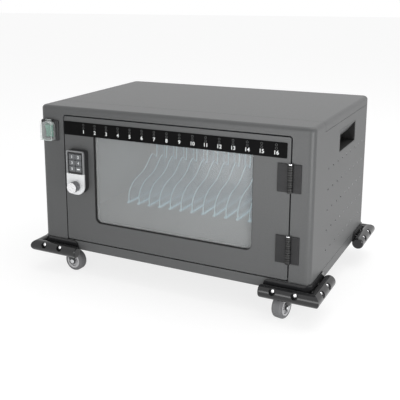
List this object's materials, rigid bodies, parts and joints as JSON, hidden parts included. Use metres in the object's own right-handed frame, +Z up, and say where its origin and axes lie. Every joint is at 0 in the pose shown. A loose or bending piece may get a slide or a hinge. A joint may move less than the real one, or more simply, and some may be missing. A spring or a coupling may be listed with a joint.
{
  "type": "laptop charging cart",
  "caption": "Low lockable steel cabinet on swivel casters that stores and charges laptops on edge behind a glazed door.",
  "frame": {"origin": "middle of the footprint on the floor, under the middle of the bounding box", "axes": "+X to the right seen from the front, +Y to the back, +Z up; the door faces -Y"},
  "size_m": [0.7366, 0.5306, 0.421],
  "materials": {
    "powder_coat": "fine textured charcoal powder coat",
    "inner_coat": "grey powder coat",
    "divider_clear": "clear pale blue plastic",
    "pane": "clear sheet",
    "black_plastic": "satin",
    "bumper_plastic": "glossy",
    "strip_film": "printed film",
    "gasket_rubber": "matt",
    "hinge_black": "satin black",
    "zinc": "zinc plated",
    "chrome": "polished",
    "lock_silver": "satin silver",
    "key_grey": "satin",
    "switch_green": "glossy, clear tinted",
    "cover_clear": "clear soft plastic",
    "fork_black": "satin black",
    "tyre_grey": "moulded rubber",
    "hub_grey": "moulded"
  },
  "bodies": {
    "cabinet": {"base_pan": "powder_coat", "front_frame": "powder_coat", "left_panel": "powder_coat", "right_panel": "powder_coat", "top_cover": "powder_coat", "rear_panel": "powder_coat", "partition": "inner_coat", "bay_floor": "inner_coat", "dividers": "divider_clear", "charging_strip": "black_plastic", "power_module": "inner_coat", "mains_inlet": "black_plastic", "side_handle_left": "black_plastic", "side_handle_right": "black_plastic", "bumper_front_left": "bumper_plastic", "bumper_front_right": "bumper_plastic", "bumper_rear_left": "bumper_plastic", "bumper_rear_right": "bumper_plastic", "bumper_screws": "chrome", "caster_plates": "zinc", "caster_bolts": "zinc", "switch_housing": "black_plastic", "hinge_frame_leaves": "hinge_black"},
    "door": {"door_panel": "powder_coat", "window_pane": "pane", "window_gasket": "gasket_rubber", "window_retainer": "inner_coat", "label_strip": "strip_film", "hinge_door_leaves": "hinge_black", "hinge_pins": "chrome", "lock_body": "black_plastic", "lock_face": "lock_silver", "lock_nut": "zinc"},
    "lock_turn": {"lock_knob": "chrome", "lock_cam": "zinc"},
    "rocker": {"switch_rocker": "switch_green"},
    "cover": {"switch_cover": "cover_clear"},
    "key_1": {"lock_key_1": "key_grey"},
    "key_2": {"lock_key_2": "key_grey"},
    "key_3": {"lock_key_3": "key_grey"},
    "key_4": {"lock_key_4": "key_grey"},
    "key_5": {"lock_key_5": "key_grey"},
    "key_6": {"lock_key_6": "key_grey"},
    "caster_front_left": {"caster_fork_front_left": "fork_black", "caster_axle_front_left": "zinc"},
    "wheel_front_left": {"caster_tyre_front_left": "tyre_grey", "caster_hub_front_left": "hub_grey"},
    "caster_front_right": {"caster_fork_front_right": "fork_black", "caster_axle_front_right": "zinc"},
    "wheel_front_right": {"caster_tyre_front_right": "tyre_grey", "caster_hub_front_right": "hub_grey"},
    "caster_rear_left": {"caster_fork_rear_left": "fork_black", "caster_axle_rear_left": "zinc"},
    "wheel_rear_left": {"caster_tyre_rear_left": "tyre_grey", "caster_hub_rear_left": "hub_grey"},
    "caster_rear_right": {"caster_fork_rear_right": "fork_black", "caster_axle_rear_right": "zinc"},
    "wheel_rear_right": {"caster_tyre_rear_right": "tyre_grey", "caster_hub_rear_right": "hub_grey"}
  },
  "joints": [
    {"name": "door_hinge", "type": "hinge", "parent": "cabinet", "child": "door", "pos_m": [0.2926, -0.2328, 0.235], "axis": [0, 0, 1], "range_deg": [0, 170]},
    {"name": "lock_knob_turn", "type": "hinge", "parent": "door", "child": "lock_turn", "pos_m": [-0.229, -0.227, 0.2335], "axis": [0, 1, 0], "range_deg": [0, 90]},
    {"name": "switch_rock", "type": "hinge", "parent": "cabinet", "child": "rocker", "pos_m": [-0.311, -0.224, 0.361], "axis": [1, 0, 0], "range_deg": [-20, 0]},
    {"name": "cover_flip", "type": "hinge", "parent": "cabinet", "child": "cover", "pos_m": [-0.311, -0.2338, 0.38575], "axis": [-1, 0, 0], "range_deg": [0, 95]},
    {"name": "key_1_press", "type": "slide", "parent": "door", "child": "key_1", "axis": [0, 1, 0], "range_m": [0, 0.0008], "stiffness_N_per_m": 600},
    {"name": "key_2_press", "type": "slide", "parent": "door", "child": "key_2", "axis": [0, 1, 0], "range_m": [0, 0.0008], "stiffness_N_per_m": 600},
    {"name": "key_3_press", "type": "slide", "parent": "door", "child": "key_3", "axis": [0, 1, 0], "range_m": [0, 0.0008], "stiffness_N_per_m": 600},
    {"name": "key_4_press", "type": "slide", "parent": "door", "child": "key_4", "axis": [0, 1, 0], "range_m": [0, 0.0008], "stiffness_N_per_m": 600},
    {"name": "key_5_press", "type": "slide", "parent": "door", "child": "key_5", "axis": [0, 1, 0], "range_m": [0, 0.0008], "stiffness_N_per_m": 600},
    {"name": "key_6_press", "type": "slide", "parent": "door", "child": "key_6", "axis": [0, 1, 0], "range_m": [0, 0.0008], "stiffness_N_per_m": 600},
    {"name": "swivel_front_left", "type": "hinge", "parent": "cabinet", "child": "caster_front_left", "pos_m": [-0.282, -0.203, 0.065], "axis": [0, 0, 1], "continuous": true},
    {"name": "roll_front_left", "type": "hinge", "parent": "caster_front_left", "child": "wheel_front_left", "pos_m": [-0.26504, -0.20419, 0.026], "axis": [0.0698, 0.9976, 0], "continuous": true},
    {"name": "swivel_front_right", "type": "hinge", "parent": "cabinet", "child": "caster_front_right", "pos_m": [0.282, -0.203, 0.065], "axis": [0, 0, 1], "continuous": true},
    {"name": "roll_front_right", "type": "hinge", "parent": "caster_front_right", "child": "wheel_front_right", "pos_m": [0.27876, -0.21969, 0.026], "axis": [0.9816, -0.1908, 0], "continuous": true},
    {"name": "swivel_rear_left", "type": "hinge", "parent": "cabinet", "child": "caster_rear_left", "pos_m": [-0.282, 0.213, 0.065], "axis": [0, 0, 1], "continuous": true},
    {"name": "roll_rear_left", "type": "hinge", "parent": "caster_rear_left", "child": "wheel_rear_left", "pos_m": [-0.2735, 0.22772, 0.026], "axis": [-0.866, 0.5, 0], "continuous": true},
    {"name": "swivel_rear_right", "type": "hinge", "parent": "cabinet", "child": "caster_rear_right", "pos_m": [0.282, 0.213, 0.065], "axis": [0, 0, 1], "continuous": true},
    {"name": "roll_rear_right", "type": "hinge", "parent": "caster_rear_right", "child": "wheel_rear_right", "pos_m": [0.27905, 0.22974, 0.026], "axis": [-0.9848, -0.1736, 0], "continuous": true}
  ]
}
